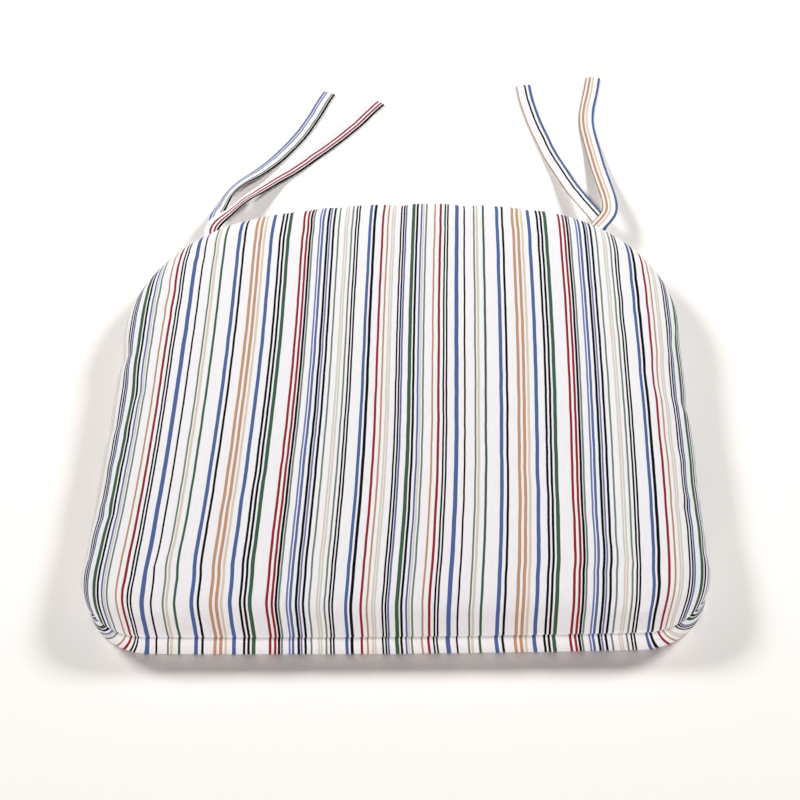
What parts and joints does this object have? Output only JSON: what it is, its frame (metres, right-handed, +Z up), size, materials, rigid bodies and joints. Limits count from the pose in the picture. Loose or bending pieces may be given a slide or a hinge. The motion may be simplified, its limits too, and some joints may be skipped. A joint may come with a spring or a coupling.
{
  "type": "chair seat pad",
  "caption": "D-shaped foam chair seat pad in a striped cotton cover, with a back zip and two pairs of tie tapes.",
  "frame": {"origin": "centre of the pad's underside, at the middle of its width and depth, ties left out", "axes": "+Z up through the pad's thickness, +Y to the back edge with the zip and the ties, +X across the pad"},
  "size_m": [0.4, 0.5546, 0.0461],
  "materials": {
    "cover_fabric": "woven striped cotton, matte",
    "foam": "open-cell foam, matte",
    "thread": "spun polyester thread",
    "zip_tape": "fine woven tape, matte",
    "zip_coil": "nylon monofilament, satin",
    "zip_metal": "satin plated zinc",
    "tie_fabric": "folded woven striped cotton, matte"
  },
  "bodies": {
    "pad": {"foam_core": "foam", "cover_top_panel": "cover_fabric", "cover_bottom_panel": "cover_fabric", "seam_overlock": "thread", "zip_tape_upper": "zip_tape", "zip_tape_lower": "zip_tape", "zip_coil_upper": "zip_coil", "zip_coil_lower": "zip_coil", "zip_stop_left": "zip_metal", "zip_stop_right": "zip_metal", "tie_anchor_left": "tie_fabric", "tie_anchor_right": "tie_fabric", "tie_left_outer": "tie_fabric", "tie_left_inner": "tie_fabric", "tie_right_inner": "tie_fabric", "tie_right_outer": "tie_fabric"},
    "zip_slider": {"zip_slider": "zip_metal"},
    "zip_pull": {"zip_pull": "zip_metal"}
  },
  "joints": [
    {"name": "zip_run", "type": "hinge", "parent": "pad", "child": "zip_slider", "pos_m": [0, -0.315, 0.02], "axis": [0, 0, 1], "range_deg": [0, 21.3]},
    {"name": "pull_turn", "type": "hinge", "parent": "zip_slider", "child": "zip_pull", "pos_m": [0.09396, 0.18184, 0.02], "axis": [0, 0, 1], "range_deg": [-172, 0]}
  ]
}
